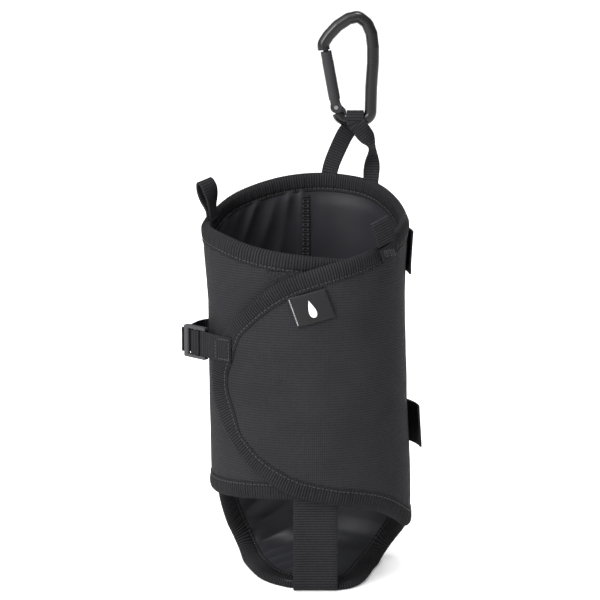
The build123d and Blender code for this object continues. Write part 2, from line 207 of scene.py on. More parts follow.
def as_mesh(name, verts, faces, uv=None):
    mesh = bpy.data.meshes.new(name)
    mesh.from_pydata((slumped(verts) * MM).tolist(), [], [list(map(int, f)) for f in faces])
    if uv is not None:
        layer = mesh.uv_layers.new(name="UVMap")
        index = np.zeros(len(mesh.loops), np.int32)
        mesh.loops.foreach_get("vertex_index", index)
        layer.data.foreach_set("uv", (np.asarray(uv)[index] * MM).astype(np.float32).ravel())
    mesh.polygons.foreach_set("use_smooth", [True] * len(mesh.polygons))
    mesh.update()
    obj = bpy.data.objects.new(name, mesh)
    bpy.context.scene.collection.objects.link(obj)
    return obj


def quads(nu, nv, base=0, close_v=False, flip=False):
    """Faces of a grid of nu by nv points."""
    faces = []
    for i in range(nu - 1):
        for j in range(nv if close_v else nv - 1):
            a, b = i * nv + j, (i + 1) * nv + j
            c, d = (i + 1) * nv + (j + 1) % nv, i * nv + (j + 1) % nv
            f = (a, b, c, d) if not flip else (a, d, c, b)
            faces.append(tuple(base + k for k in f))
    return faces


def slab(name, outer, inner, uv):
    """Closed plate from two matching grids; outer's normal is along -u x v."""
    nu, nv = outer.shape[:2]
    n = nu * nv
    verts = np.concatenate([outer.reshape(-1, 3), inner.reshape(-1, 3)])
    faces = quads(nu, nv) + quads(nu, nv, n, flip=True)
    rim = [i * nv for i in range(nu)] + [(nu - 1) * nv + j for j in range(1, nv)]
    rim += [i * nv + nv - 1 for i in range(nu - 2, -1, -1)] + [j for j in range(nv - 2, 0, -1)]
    for a, b in zip(rim, rim[1:] + rim[:1]):
        faces.append((b, a, a + n, b + n))
    return as_mesh(name, verts, faces, np.concatenate([uv.reshape(-1, 2)] * 2))


def loft_loops(loops, uv):
    """Closed tube through section loops of shape (stations, points, 3)."""
    n, m = loops.shape[:2]
    faces = quads(n, m, close_v=True)
    verts = np.concatenate([loops.reshape(-1, 3), [loops[0].mean(0)], [loops[-1].mean(0)]])
    for j in range(m):
        faces.append((n * m, j, (j + 1) % m))
        faces.append((n * m + 1, (n - 1) * m + (j + 1) % m, (n - 1) * m + j))
    uv = np.concatenate([uv.reshape(-1, 2), [uv[0].mean(0)], [uv[-1].mean(0)]])
    return verts, faces, uv


def merged(name, parts):
    """One object from several (verts, faces, uv)."""
    verts, faces, uvs, base = [], [], [], 0
    for v, f, uv in parts:
        verts.append(v)
        uvs.append(uv)
        faces += [tuple(k + base for k in face) for face in f]
        base += len(v)
    return as_mesh(name, np.concatenate(verts), faces, np.concatenate(uvs))


# ---------------------------------------------------------------- webbing and tape

def webbing(stations, width, thick, rib=0.0, pitch=1.3):
    """Ribbon through stations of (point, across), ribbed across; returns verts, faces, uv."""
    edge, step = 0.35, 0.33     # the rounded margin, and the spacing of the sections
    points = np.array([list(p) for p, _ in stations], float)
    across = np.array([list(w) for _, w in stations], float)
    both = spline(np.concatenate([points, unit(across) * 6], 1), 900)
    path, wide = both[:, :3], both[:, 3:]
    s = lengths(path)
    at = np.linspace(0, s[-1], max(8, int(s[-1] / step)))
    p, w = sampled(at, s, path), sampled(at, s, wide)
    t = unit(np.gradient(p, axis=0))
    w = unit(w - t * (w * t).sum(1, keepdims=True))
    nrm = np.cross(t, w)
    half, h = width / 2, thick / 2
    cols = [-half, -half + 0.25 * edge, -half + edge, -half * 0.72, -half * 0.36, 0, half * 0.36,
            half * 0.72, half - edge, half - 0.25 * edge, half]
    prof = [0.0, 0.72, 1.0, 0.93, 0.9, 0.9, 0.9, 0.93, 1.0, 0.72]
    top = list(zip(cols[:-1], prof))
    bottom = [(-x, -y) for x, y in top]
    ring = np.array(top + bottom)
    ripple = 1 + (rib / h) * (np.abs(np.cos(math.pi * at / pitch)) - 0.6)[:, None]
    inside = (np.abs(ring[:, 0]) < half - 0.2 * edge)[None, :]
    height = ring[None, :, 1] * h * np.where(inside, ripple, 1.0)
    loops = p[:, None, :] + w[:, None, :] * ring[None, :, 0, None] + nrm[:, None, :] * height[..., None]
    uv = np.stack(np.broadcast_arrays(ring[None, :, 0] + 0 * at[:, None], at[:, None]), -1)
    return loft_loops(loops[:, ::-1], uv[:, ::-1])


def tape_sections(depth):
    """Section of a folded tape as (depth, height): round its outer face, then back round its inner."""
    full, sewn = HALF + TAPE, depth - GROOVE
    d = [depth, depth, depth - 0.35, depth - 1.0, sewn, sewn - 0.7, depth * 0.6, depth * 0.4,
         depth * 0.22, 0.9, 0.2, -0.28, -TAPE]
    n = [HALF - 0.2, HALF + 0.32, full, full, full - SQUEEZE, full, full + 0.14, full + 0.1,
         full - 0.1, full - 0.55, HALF - 0.85, HALF * 0.42, 0.0]
    outer = list(zip(d, n)) + [(a, -b) for a, b in list(zip(d, n))[-2::-1]]
    back = [(depth, -HALF + 0.25), (depth * 0.5, -HALF + 0.05), (0.75, -HALF + 0.5), (0.3, 0.0),
            (0.75, HALF - 0.5), (depth * 0.5, HALF - 0.05), (depth, HALF - 0.25)]
    return outer, back


def fold_tape(s, surface, depth):
    """Mesh data of a tape folded over an edge; surface(d, n) gives points at every station."""
    outer, back = tape_sections(depth)
    rings, uvs = [], []
    around = 0.0
    last = outer[0]
    flat = 0 * s
    wave = RIB_HIGH * (np.abs(np.cos(math.pi * s / RIB + 0.4 * np.sin(s / 9.0))) - 0.6)
    roll = 0.16 * noise(s / 7.0, flat, 5) + 0.10 * np.sin(2 * math.pi * s / 5.1)
    drift = 0.28 * noise(s / 11.0, flat, 8)
    for k, (d, n) in enumerate(outer + back):
        on_face = 0 < k < len(outer) - 1
        puffy = roll * min(1.0, d / 3.0) if 0.5 < d < depth - 1.2 else flat
        extra = (wave + puffy) * np.sign(n) if on_face else flat
        depthwise = -wave if on_face and d < 0.5 else flat
        rings.append(surface(d + depthwise + drift * max(0.0, d) / depth, n + extra))
        around += math.hypot(d - last[0], n - last[1])
        last = (d, n)
        uvs.append(np.stack([np.full_like(s, around), s], -1))
    return loft_loops(np.stack(rings, 1), np.stack(uvs, 1))


def wall_tape(wall, edge_sz, nose=0.0):
    """Tape on a wall's edge, and its path; edge_sz is the edge in (s, z), with the panel on its left.

    nose widens the tape where the wall turns round the left side."""
    path = resample(edge_sz, 0.3)
    tangent = unit(np.gradient(path, axis=0))
    inward = np.stack([-tangent[:, 1], tangent[:, 0]], 1)
    inward = inward * (1 + nose * smooth(-44, -55, wall.x_of_s(path[:, 0])))[:, None]
    s = lengths(path)

    def surface(d, n):
        q = path + inward * np.broadcast_to(d, s.shape)[:, None]
        return wall.at(q[:, 0], q[:, 1], n - HALF)

    return fold_tape(s, surface, BIND), path, inward


def stitch(p0, p1, n, radius):
    """One stitch, a small bent bead between two points on a face with normal n."""
    side = np.cross(n, unit(p1 - p0))
    # share of the way along, thickness, height off the face
    bead = [(0.0, 0.45, -0.25), (0.2, 0.95, 0.12), (0.5, 1.0, 0.22), (0.8, 0.95, 0.12), (1.0, 0.45, -0.25)]
    loops = []
    for f, r, lift in bead:
        c = p0 + (p1 - p0) * f + n * lift * radius
        loops.append([c + side * radius * r * math.cos(a) + n * radius * r * 0.8 * math.sin(a)
                      for a in np.linspace(0, 2 * math.pi, 7)[:-1]])
    loops = np.array(loops)
    uv = np.zeros(loops.shape[:2] + (2,))
    return loft_loops(loops[:, ::-1], uv)


def stitch_row(points, normals, pitch=2.5, gap=0.75, radius=0.3, zig=0.0):
    """Stitches along a path; zig offsets alternate needle holes to make a zigzag."""
    s = lengths(points)
    parts = []
    count = int(s[-1] / pitch)
    side = np.cross(normals, unit(np.gradient(points, axis=0)))

    def at(v, off):
        return sampled(v, s, points) + sampled(v, s, side) * off

    for i in range(count):
        a, b = i * pitch, (i + 1) * pitch - gap
        nrm = unit(sampled((a + b) / 2, s, normals))
        off = (zig, -zig) if i % 2 else (-zig, zig)
        parts.append(stitch(at(a, off[0]), at(b, off[1]), nrm, radius))
    return parts


# ---------------------------------------------------------------- materials

def tree(name):
    mat = bpy.data.materials.new(name)
    mat.use_nodes = True
    nt = mat.node_tree
    return mat, nt, nt.nodes["Principled BSDF"]


def set_inputs(shader, **values):
    """Set a node's inputs; an underscore in a name stands for a space."""
    for k, v in values.items():
        shader.inputs[k.replace("_", " ")].default_value = v


def math_node(nt, op, a, b=None):
    n = nt.nodes.new("ShaderNodeMath")
    n.operation = op
    for i, v in enumerate((a, b)):
        if v is None:
            continue
        if isinstance(v, (int, float)):
            n.inputs[i].default_value = v
        else:
            nt.links.new(v, n.inputs[i])
    return n.outputs[0]


def add(nt, a, b):
    return math_node(nt, "ADD", a, b)


def multiply(nt, a, b):
    return math_node(nt, "MULTIPLY", a, b)


def uv_coords(nt):
    tc = nt.nodes.new("ShaderNodeTexCoord")
    sep = nt.nodes.new("ShaderNodeSeparateXYZ")
    nt.links.new(tc.outputs["UV"], sep.inputs[0])
    return sep.outputs[0], sep.outputs[1]


def object_coords(nt):
    return nt.nodes.new("ShaderNodeTexCoord").outputs["Object"]


def thread(nt, coord, pitch, sharp):
    """0 to 1 wave across threads of that pitch, in millimetres."""
    phase = multiply(nt, coord, math.pi / (pitch * MM))
    wave = math_node(nt, "ABSOLUTE", math_node(nt, "COSINE", phase))
    return math_node(nt, "POWER", wave, sharp)


def texture(nt, kind, vector, **values):
    n = nt.nodes.new(kind)
    set_inputs(n, **values)
    nt.links.new(vector, n.inputs["Vector"])
    return n.outputs


def blotch(nt, vector, scale, detail=3.0):
    return texture(nt, "ShaderNodeTexNoise", vector, Scale=scale, Detail=detail)[0]


def colour_between(nt, low, high, factor):
    mix = nt.nodes.new("ShaderNodeMix")
    mix.data_type = "RGBA"
    mix.inputs[6].default_value = (*low, 1)
    mix.inputs[7].default_value = (*high, 1)
    nt.links.new(factor, mix.inputs[0])
    return mix.outputs[2]


def bump(nt, height, distance, strength, below=None):
    b = nt.nodes.new("ShaderNodeBump")
    set_inputs(b, Strength=strength, Distance=distance)
    nt.links.new(height, b.inputs["Height"])
    if below is not None:
        nt.links.new(below, b.inputs["Normal"])
    return b.outputs[0]


def cloth_material(name, low, high, u_pitch, v_pitch, rough=0.8, sheen=0.4, depth=0.00012, mix=0.5,
                   specular=0.35):
    """Woven cloth: threads both ways from the UV, soft blotches and a sheen."""
    mat, nt, bsdf = tree(name)
    u, v = uv_coords(nt)
    a = thread(nt, u, u_pitch, 0.6)
    b = thread(nt, v, v_pitch, 0.8)
    weave = add(nt, multiply(nt, a, 1 - mix), multiply(nt, b, mix))
    place = object_coords(nt)
    broad = blotch(nt, place, 38.0)
    fine = blotch(nt, place, 900.0, 2.0)
    shade = add(nt, multiply(nt, weave, 0.55), add(nt, multiply(nt, broad, 0.35), multiply(nt, fine, 0.35)))
    shade = math_node(nt, "SUBTRACT", shade, 0.2)
    nt.links.new(colour_between(nt, low, high, shade), bsdf.inputs["Base Color"])
    height = add(nt, weave, multiply(nt, fine, 0.35))
    wave = bump(nt, broad, 0.0012, 0.25)
    nt.links.new(bump(nt, height, depth, 0.9, wave), bsdf.inputs["Normal"])
    worn = add(nt, rough - 0.08, multiply(nt, broad, 0.16))
    nt.links.new(worn, bsdf.inputs["Roughness"])
    set_inputs(bsdf, Specular_IOR_Level=specular, Sheen_Weight=sheen, Sheen_Roughness=0.45,
               Sheen_Tint=(0.9, 0.95, 1.0, 1))
    return mat


def hard_material(name, colour, rough, metal=0.0, coat=0.0, grain=300.0, depth=0.00003, wear=0.06):
    """Moulded or anodised surface with a fine grain and slightly uneven gloss."""
    mat, nt, bsdf = tree(name)
    place = object_coords(nt)
    fine = blotch(nt, place, grain, 4.0)
    broad = blotch(nt, place, 45.0, 3.0)
    high = tuple(min(1.0, c * 1.5 + 0.004) for c in colour)
    nt.links.new(colour_between(nt, colour, high, broad), bsdf.inputs["Base Color"])
    uneven = add(nt, rough, multiply(nt, fine, wear))
    nt.links.new(uneven, bsdf.inputs["Roughness"])
    nt.links.new(bump(nt, fine, depth, 0.35), bsdf.inputs["Normal"])
    set_inputs(bsdf, Metallic=metal, Coat_Weight=coat, Coat_Roughness=0.08, Specular_IOR_Level=0.3)
    return mat


def pile_material(name, low, high, scale):
    """Hook or loop pile: dense fine tufts."""
    mat, nt, bsdf = tree(name)
    tuft = texture(nt, "ShaderNodeTexVoronoi", object_coords(nt), Scale=scale)["Distance"]
    nt.links.new(colour_between(nt, high, low, tuft), bsdf.inputs["Base Color"])
    nt.links.new(bump(nt, tuft, 0.0005, 0.9), bsdf.inputs["Normal"])
    set_inputs(bsdf, Roughness=0.95, Sheen_Weight=0.05, Specular_IOR_Level=0.15)
    return mat


DULL = {"rough": 0.6, "sheen": 0.0, "specular": 0.02}
MATERIALS = {
    "shell": cloth_material("nylon_shell", (0.0055, 0.0054, 0.0065), (0.0325, 0.0320, 0.0355), 1.1, 1.5,
                            depth=0.00036, mix=0.55, **DULL),
    "liner": cloth_material("coated_liner", (0.0085, 0.0085, 0.0110), (0.0170, 0.0170, 0.0210), 0.42, 0.42,
                            rough=0.40, sheen=0.03, depth=0.00003, specular=0.27),
    "foam": cloth_material("foam_core", (0.05, 0.05, 0.05), (0.09, 0.09, 0.09), 0.9, 0.9, rough=0.95),
    "binding": cloth_material("grosgrain_binding", (0.0005, 0.0005, 0.0006), (0.029, 0.029, 0.031),
                              0.5, RIB, depth=0.0006, mix=0.9, **DULL),
    "webbing": cloth_material("ribbed_webbing", (0.0012, 0.0012, 0.0016), (0.030, 0.030, 0.033), 1.0, 1.5,
                              depth=0.0005, mix=0.8, **DULL),
    "thread": cloth_material("sewing_thread", (0.006, 0.006, 0.007), (0.030, 0.030, 0.032), 0.3, 0.5,
                             rough=0.45, sheen=0.05, depth=0.00004),
    "label": cloth_material("woven_label", (0.004, 0.004, 0.005), (0.012, 0.012, 0.013), 0.4, 0.4,
                            rough=0.5, sheen=0.03, depth=0.00004, specular=0.18),
    "mark": cloth_material("label_thread", (0.50, 0.50, 0.50), (0.85, 0.85, 0.85), 0.4, 0.4, rough=0.6),
    "patch": pile_material("hook_pile", (0.004, 0.004, 0.005), (0.022, 0.022, 0.024), 1300.0),
    "clip": hard_material("black_anodised", (0.0025, 0.0025, 0.003), 0.22, coat=0.05),
    "gate": hard_material("grey_anodised", (0.010, 0.010, 0.0115), 0.36, metal=0.0, wear=0.1),
    "pin": hard_material("steel", (0.20, 0.20, 0.21), 0.25, metal=1.0),
    "buckle": hard_material("acetal", (0.020, 0.020, 0.023), 0.34, grain=700.0, depth=0.00005, wear=0.12),
}


def finish_piece(obj, material, body=None, slot=None, stands_for=(), bend=None):
    """Give a piece its material and attach it to its body; a piece with a bend (two bodies and where it
    starts and ends) only has its transform baked in.
    """
    obj.data.materials.clear()
    obj.data.materials.append(MATERIALS[material])
    if bend is not None:
        a, b, start, end = bend
        [c * MM for c in start]
        [c * MM for c in end]
        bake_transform(obj)
    else:
        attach(obj, body)
    if stands_for:
        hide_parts(*stands_for)
    return obj


# ---------------------------------------------------------------- padded panels

back_wall = Wall(90, 270, lambda d: (A, B))
wing_wall = Wall(-90, math.degrees(math.asin(WING_END / WING_A)),
                 lambda d: (A if d < 0 else WING_A, WING_B))
flap_wall = Wall(-63.6, 90, lambda d: (FLAP_A if d < 0 else A, B))
back_top, wing_top, hem = edge_z(BACK_TOP), edge_z(WING_TOP), edge_z(HEM)
FLAP_BEND = ("sleeve", "flap", (58, 0, 130), (54.4, -17.4, 130))

flap_curve = spline(FLAP, 3000)
flap_nose = int(np.argmin(flap_curve[:, 0]))
flap_upper = flap_curve[:flap_nose + 1][::-1]
flap_lower = flap_curve[flap_nose:]


def flap_top(x):
    return np.interp(x, flap_upper[:, 0], flap_upper[:, 1])


def flap_bottom(x):
    return np.interp(x, flap_lower[:, 0], flap_lower[:, 1])


def panel(name, wall, s_vals, z_low, z_high, nv, wrinkle, bend=None):
    """Shell, foam and liner of a padded panel on a grid of (s, v); wrinkle shapes its two faces."""
    v = np.linspace(0, 1, nv)
    s = np.broadcast_to(s_vals[:, None], (len(s_vals), nv))
    z = z_low[:, None] + (z_high - z_low)[:, None] * v[None, :]
    up, down = z_high[:, None] - z, z - z_low[:, None]
    mask = smooth(BIND - 1.5, BIND + 7, np.minimum(up, down))
    rise, sink = wrinkle(s, z, up, down, mask)
    uv = np.stack([s, z], -1)
    for part, (d0, d1) in LAYERS.items():
        share0, share1 = d0 / WALL, d1 / WALL
        out0 = -d0 + rise * (1 - share0) - sink * share0
        out1 = -d1 + rise * (1 - share1) - sink * share1
        obj = slab(f"{name}_{part}_cloth", wall.at(s, z, out0), wall.at(s, z, out1), uv)
        finish_piece(obj, part, "sleeve", part, [f"{name}_{part}"], bend)


# The liner's pleats: x at the rim, lean to the side on the way down, half-width, height
PLEATS = [(-4.5, -0.03, 2.2, 1.2), (-11, -0.13, 3.0, 1.8), (-18.5, -0.20, 3.8, 1.2), (-28, -0.27, 2.8, 1.7),
          (-37.5, -0.30, 3.6, 1.0), (-46, -0.22, 2.6, 0.8)]


def back_wrinkle(s, z, up, down, mask):
    """Outside: soft quilting waves. Inside: pleats that fan out from the rim left of the seam."""
    x = back_wall.x_of_s(s)
    rise = 0.35 * mask * noise(s / 24, z / 30, 3)
    fade = smooth(4, 12, up) * np.exp(-np.maximum(up - 25, 0) / 60) * smooth(8, 20, down)
    sink = 0.3 * mask * noise(s / 14, z / 18, 9)
    for x0, lean, width, tall in PLEATS:
        off = (x - x0 - lean * up * 1.6 - 0.8 * np.sin(z / 15 + x0)) / width
        ridge = np.exp(-np.abs(off) ** 1.5) * (0.75 + 0.4 * np.sin(z / 9.0 + 2.1 * x0))
        sink = sink + tall * ridge * fade
    right = smooth(2, 10, x)
    sink = sink + right * 0.45 * (0.5 + 0.5 * np.sin(z / 11 + 0.8 * np.sin(x / 17) + 0.9)) * mask
    return rise, sink


def side_wrinkle(seed, size):
    """Soft waves of the outside, with fine puckers along the tape."""
    def wrinkle(s, z, up, down, mask):
        edge = np.minimum(up, down)
        broad, fine = noise(s / 20, z / 13, seed), noise(s / 7, z / 5, seed + 1)
        near_tape = np.exp(-np.maximum(edge - BIND, 0) / 5)
        gather = 0.10 * np.sin(s / 1.35 + 1.5 * np.sin(s / 11)) * near_tape
        return size * mask * (broad + 0.25 * fine) + gather, 0.3 * mask * noise(s / 12, z / 15, seed + 2)
    return wrinkle


def make_panels():
    s = np.linspace(0, back_wall.s[-1], 170)
    x = back_wall.x_of_s(s)
    panel("back", back_wall, s, hem(x) + TUCK, back_top(x) - TUCK, 120, back_wrinkle)
    s = np.linspace(0, wing_wall.s[-1] - TUCK, 130)
    x = wing_wall.x_of_s(s)
    panel("wing", wing_wall, s, hem(x) + TUCK, wing_top(x) - TUCK, 110, side_wrinkle(21, 0.35))
    # The flap's columns crowd together at its nose, where its two edges meet
    share = np.linspace(0, 1, 150)
    crowd = 0.35 * (1 - np.cos(share * math.pi / 2)) + 0.65 * share ** 1.25
    s_nose = float(flap_wall.s_of_x(flap_curve[flap_nose, 0] + 1.4))
    s = s_nose + (flap_wall.s[-1] - s_nose) * crowd
    x = flap_wall.x_of_s(s)
    panel("flap", flap_wall, s, flap_bottom(x) + TUCK, flap_top(x) - TUCK, 120, side_wrinkle(41, 0.5),
          FLAP_BEND)


def edge_on(wall, x, z):
    return np.stack([wall.s_of_x(x), z], 1)


def tape_stitches(wall, path, inward):
    """A row of stitches on each face of a wall's tape."""
    rows = []
    q = path + inward * (BIND - GROOVE)
    for out, face in ((TAPE - 0.3, 1), (-WALL - TAPE + 0.3, -1)):
        rows += stitch_row(wall.at(q[:, 0], q[:, 1], out), wall.normal(q[:, 0]) * face)
    return rows


def bind_panels():
    """Folded grosgrain tape on every edge, with its stitch line."""
    xs = np.linspace(-A, A, 500)
    rim, *rim_path = wall_tape(back_wall, edge_on(back_wall, xs, back_top(xs)))
    finish_piece(merged("back_rim_tape", [rim]), "binding", "sleeve", "binding", ["back_rim_binding"])
    xs = xs[::-1]
    low, *low_path = wall_tape(back_wall, edge_on(back_wall, xs, hem(xs)))
    finish_piece(merged("back_hem_tape", [low]), "binding", "sleeve", "binding", ["back_hem_binding"])
    rows = tape_stitches(back_wall, *rim_path) + tape_stitches(back_wall, *low_path)
    finish_piece(merged("back_stitches", rows), "thread", "sleeve", "binding")

    xs = np.linspace(WING_END, -A, 420)
    top, *top_path = wall_tape(wing_wall, edge_on(wing_wall, xs, wing_top(xs)))
    zs = np.linspace(float(hem(WING_END)), float(wing_top(WING_END)), 200)
    end, *_ = wall_tape(wing_wall, np.stack([0 * zs + wing_wall.s[-1], zs], 1))
    xs = xs[::-1]
    low, *low_path = wall_tape(wing_wall, edge_on(wing_wall, xs, hem(xs)))
    finish_piece(merged("wing_tape", [top, end, low]), "binding", "sleeve", "binding", ["wing_binding"])
    rows = tape_stitches(wing_wall, *top_path) + tape_stitches(wing_wall, *low_path)
    finish_piece(merged("wing_stitches", rows), "thread", "sleeve", "binding")

    inside = flap_curve[flap_curve[:, 0] < A]
    tape, *path = wall_tape(flap_wall, edge_on(flap_wall, inside[:, 0], inside[:, 1]), nose=0.55)
    finish_piece(merged("flap_tape", [tape]), "binding", None, "binding", ["flap_binding"], FLAP_BEND)
    rows = tape_stitches(flap_wall, *path)
    finish_piece(merged("flap_stitches", rows), "thread", None, "binding", (), FLAP_BEND)


# ---------------------------------------------------------------- foot tongue

def foot_grid(nu):
    """Outer face of the foot tongue: rows run from the back's hem down, round and along the floor."""
    left, right = spline(FOOT_LEFT, 600), spline(FOOT_RIGHT, 600)
    u = np.linspace(0, 1, nu)

    def row(z, inset=0.0):
        """Points from margin to margin at height z, inset millimetres inside the sleeve's ellipse."""
        x0 = np.interp(-z, -left[:, 1], left[:, 0])
        x1 = np.interp(z, right[:, 1], right[:, 0])
        x = x0 + (x1 - x0) * u
        a, b = A - inset, B - inset
        y = b * np.sqrt(np.maximum(1 - (x / a) ** 2, 0.0))
        return np.stack([x, y, 0 * x + z], 1)

    top = np.minimum(hem(row(FOOT_TOP)[:, 0]) + FOOT_LAP, FOOT_TOP)
    rows = [row(top + (FOOT_R - top) * v) for v in np.linspace(0, 1, 24)[:-1]]
    for t in np.linspace(0, math.pi / 2, 17)[:-1]:
        rows.append(row(FOOT_R * (1 - math.sin(t)), FOOT_R * (1 - math.cos(t))))
    back = row(0.0, FOOT_R)
    edge = spline([back[0, :2]] + FLOOR_EDGE + [back[-1, :2]], 900)

    def cut(x):
        """Index of the front point of the floor edge at that x."""
        return int(np.argmin(np.abs(edge[:, 0] - x) + (edge[:, 1] > 0) * 99))

    def along(curve, f):
        s = lengths(curve)
        return sampled(f * s[-1], s, curve)

    cut0, cut1 = cut(TIP_LEFT), cut(TIP_RIGHT)
    side0, side1 = edge[:cut0 + 1], edge[cut1:][::-1]
    tip = along(edge[cut0:cut1 + 1], u)
    for g in np.linspace(0, 1, 60):
        d0, d1 = along(side0, g), along(side1, g)
        flat = (1 - g) * back[:, :2] + g * tip + (1 - u)[:, None] * d0 + u[:, None] * d1
        flat -= ((1 - u) * (1 - g))[:, None] * back[0, :2] + (u * (1 - g))[:, None] * back[-1, :2]
        flat -= ((1 - u) * g)[:, None] * tip[0] + (u * g)[:, None] * tip[-1]
        rows.append(np.concatenate([flat, np.zeros((nu, 1))], 1))
    return np.array(rows)


def drawn_in(grid, margin):
    """The grid with its side edges and its front edge moved in by margin."""
    def squeezed(line, start, end):
        s = lengths(line)
        return sampled(start + s * (1 - (start + end) / s[-1]), s, line)

    grid = np.array([squeezed(line, margin, margin) for line in grid])
    return np.stack([squeezed(grid[:, k], 0, margin) for k in range(grid.shape[1])], 1)


def facing_back(grid):
    """The foot grid's normals, outward from the sleeve's back."""
    normal = unit(np.cross(np.gradient(grid, axis=0), np.gradient(grid, axis=1)))
    return -normal if normal[5, 50, 1] < 0 else normal


def relax(curve, times):
    c = curve.copy()
    for _ in range(times):
        c[1:-1] = 0.25 * c[:-2] + 0.5 * c[1:-1] + 0.25 * c[2:]
    return c


def make_foot():
    outer = foot_grid(110)
    bend_row = 22       # the rows from here on, round the turn and along the floor, are softened
    for _ in range(36):
        soft = 0.25 * outer[:-2] + 0.5 * outer[1:-1] + 0.25 * outer[2:]
        outer[bend_row:-1] = soft[bend_row - 1:]
    normal = facing_back(outer)
    border = np.concatenate([outer[:, 0], outer[-1, 1:-1], outer[::-1, -1]])
    bind_foot(outer, normal)
    outer = drawn_in(outer, TUCK)
    normal = facing_back(outer)
    points = outer.reshape(-1, 1, 3)
    dist = np.min(np.linalg.norm(points - border[::3], axis=2), 1).reshape(outer.shape[:2])
    mask = smooth(10, 17, dist)
    row_s = np.broadcast_to(lengths(outer[:, 55])[:, None], outer.shape[:2])
    x = outer[..., 0]
    uv = np.stack([x, row_s], -1)
    pull = np.abs(np.sin((row_s + 0.8 * x) / 5.2 + 0.5 * np.sin(x / 11)))
    sink = mask * (0.9 * smooth(10, -35, x) * pull + 0.4 * noise(x / 13, row_s / 12, 61))
    for part, (d0, d1) in LAYERS.items():
        face = outer - normal * (d0 + sink * d0 / WALL)[..., None]
        inner = outer - normal * (d1 + sink * d1 / WALL)[..., None]
        face[..., 2] = np.maximum(face[..., 2], 0.15)
        obj = slab(f"foot_{part}_cloth", face, inner, uv)
        finish_piece(obj, part, "sleeve", part, [f"foot_{part}"])


def bind_foot(outer, normal):
    """Bound edge of the tongue: left margin, front edge, right margin."""
    mid = outer - normal * HALF
    nu, nv = mid.shape[:2]
    bvh = BVHTree.FromPolygons(mid.reshape(-1, 3).tolist(), quads(nu, nv))
    skip = 4      # rows of the tongue that lie under the hem binding
    border = np.concatenate([mid[skip:, 0], mid[-1, 1:-1], mid[skip:][::-1, -1]])
    border_n = np.concatenate([normal[skip:, 0], normal[-1, 1:-1], normal[skip:][::-1, -1]])
    both = resample(np.concatenate([border, border_n * 20], 1), 0.45)
    edge, nrm = relax(both[:, :3], 60), unit(relax(both[:, 3:], 60))
    s = lengths(edge)
    keep = np.linspace(0, s[-1], int(s[-1] / 0.33))
    edge, nrm = sampled(keep, s, edge), unit(sampled(keep, s, nrm))
    tangent = unit(np.gradient(edge, axis=0))
    inward = unit(np.cross(nrm, tangent))
    centre = mid[nu // 2 + 10, nv // 2]
    if ((centre - edge) * inward).sum() < 0:
        inward = -inward
    laid = {}

    def on_surface(d):
        key = round(float(d), 3)
        if key not in laid:
            spots, norms = [], []
            for p, n in zip(edge + inward * d, nrm):
                loc, face_n, _, _ = bvh.find_nearest(Vector(p))
                spots.append(loc)
                norms.append(face_n if face_n.dot(Vector(n)) > 0 else -face_n)
            laid[key] = relax(np.array(spots), 6), unit(relax(np.array(norms), 12))
        return laid[key]

    def surface(d, n):
        base = float(np.mean(d))
        p, q = on_surface(max(base, 0.0))
        extra = np.broadcast_to(d, keep.shape) - max(base, 0.0)
        pts = p + q * np.broadcast_to(n, keep.shape)[:, None] + inward * extra[:, None]
        pts[:, 2] = np.maximum(pts[:, 2], 0.02)
        return pts

    tape = fold_tape(keep, surface, BIND + 1.5)
    finish_piece(merged("foot_tape", [tape]), "binding", "sleeve", "binding", ["foot_binding"])
    p, q = on_surface(BIND - 0.2)
    rows = stitch_row(p - q * (HALF + TAPE - 0.3), -q) + stitch_row(p + q * (HALF + 0.05), q)
    finish_piece(merged("foot_stitches", rows), "thread", "sleeve", "binding")


# ---------------------------------------------------------------- webbing pieces

UP, ACROSS = (0, 0, 1), (1, 0, 0)      # which way a ribbon's width runs


def on_wall(deg, out, a=A):
    """(x, y) beside the sleeve's wall, out millimetres from an ellipse of half-width a."""
    t = math.radians(deg)
    return (a + out) * math.sin(t), -(B + out) * math.cos(t)


def flap_side(deg):
    """Outward normal of the flap's left side."""
    t = math.radians(deg)
    return unit(np.array([math.sin(t) / FLAP_A, -math.cos(t) / B, 0]))


def ribbon_piece(name, stations, width, thick, body, stands_for, bend=None, rib=0.16, pitch=1.5):
    data = webbing(stations, width, thick, rib, pitch)
    return finish_piece(merged(name, [data]), "webbing", body, "webbing", stands_for, bend)


def pile_piece(name, stations, width, thick, body, stands_for):
    finish_piece(merged(name, [webbing(stations, width, thick)]), "patch", body, "patch", [stands_for])


def make_foot_strap():
    path = [(-42.6, 58), (-42.0, 45), (-40.9, 28), (-39.9, 12), (-39.75, 4.5), (-39.3, 2.2), (-37.8, 1.0),
            (-35.5, 0.72), (-28, 0.7), (-14, 0.7)]
    stations = [((3.0, y, z), ACROSS) for y, z in path]
    ribbon_piece("foot_strap_web", stations, WEB, 1.25, "sleeve", ["foot_strap"], rib=0.14)


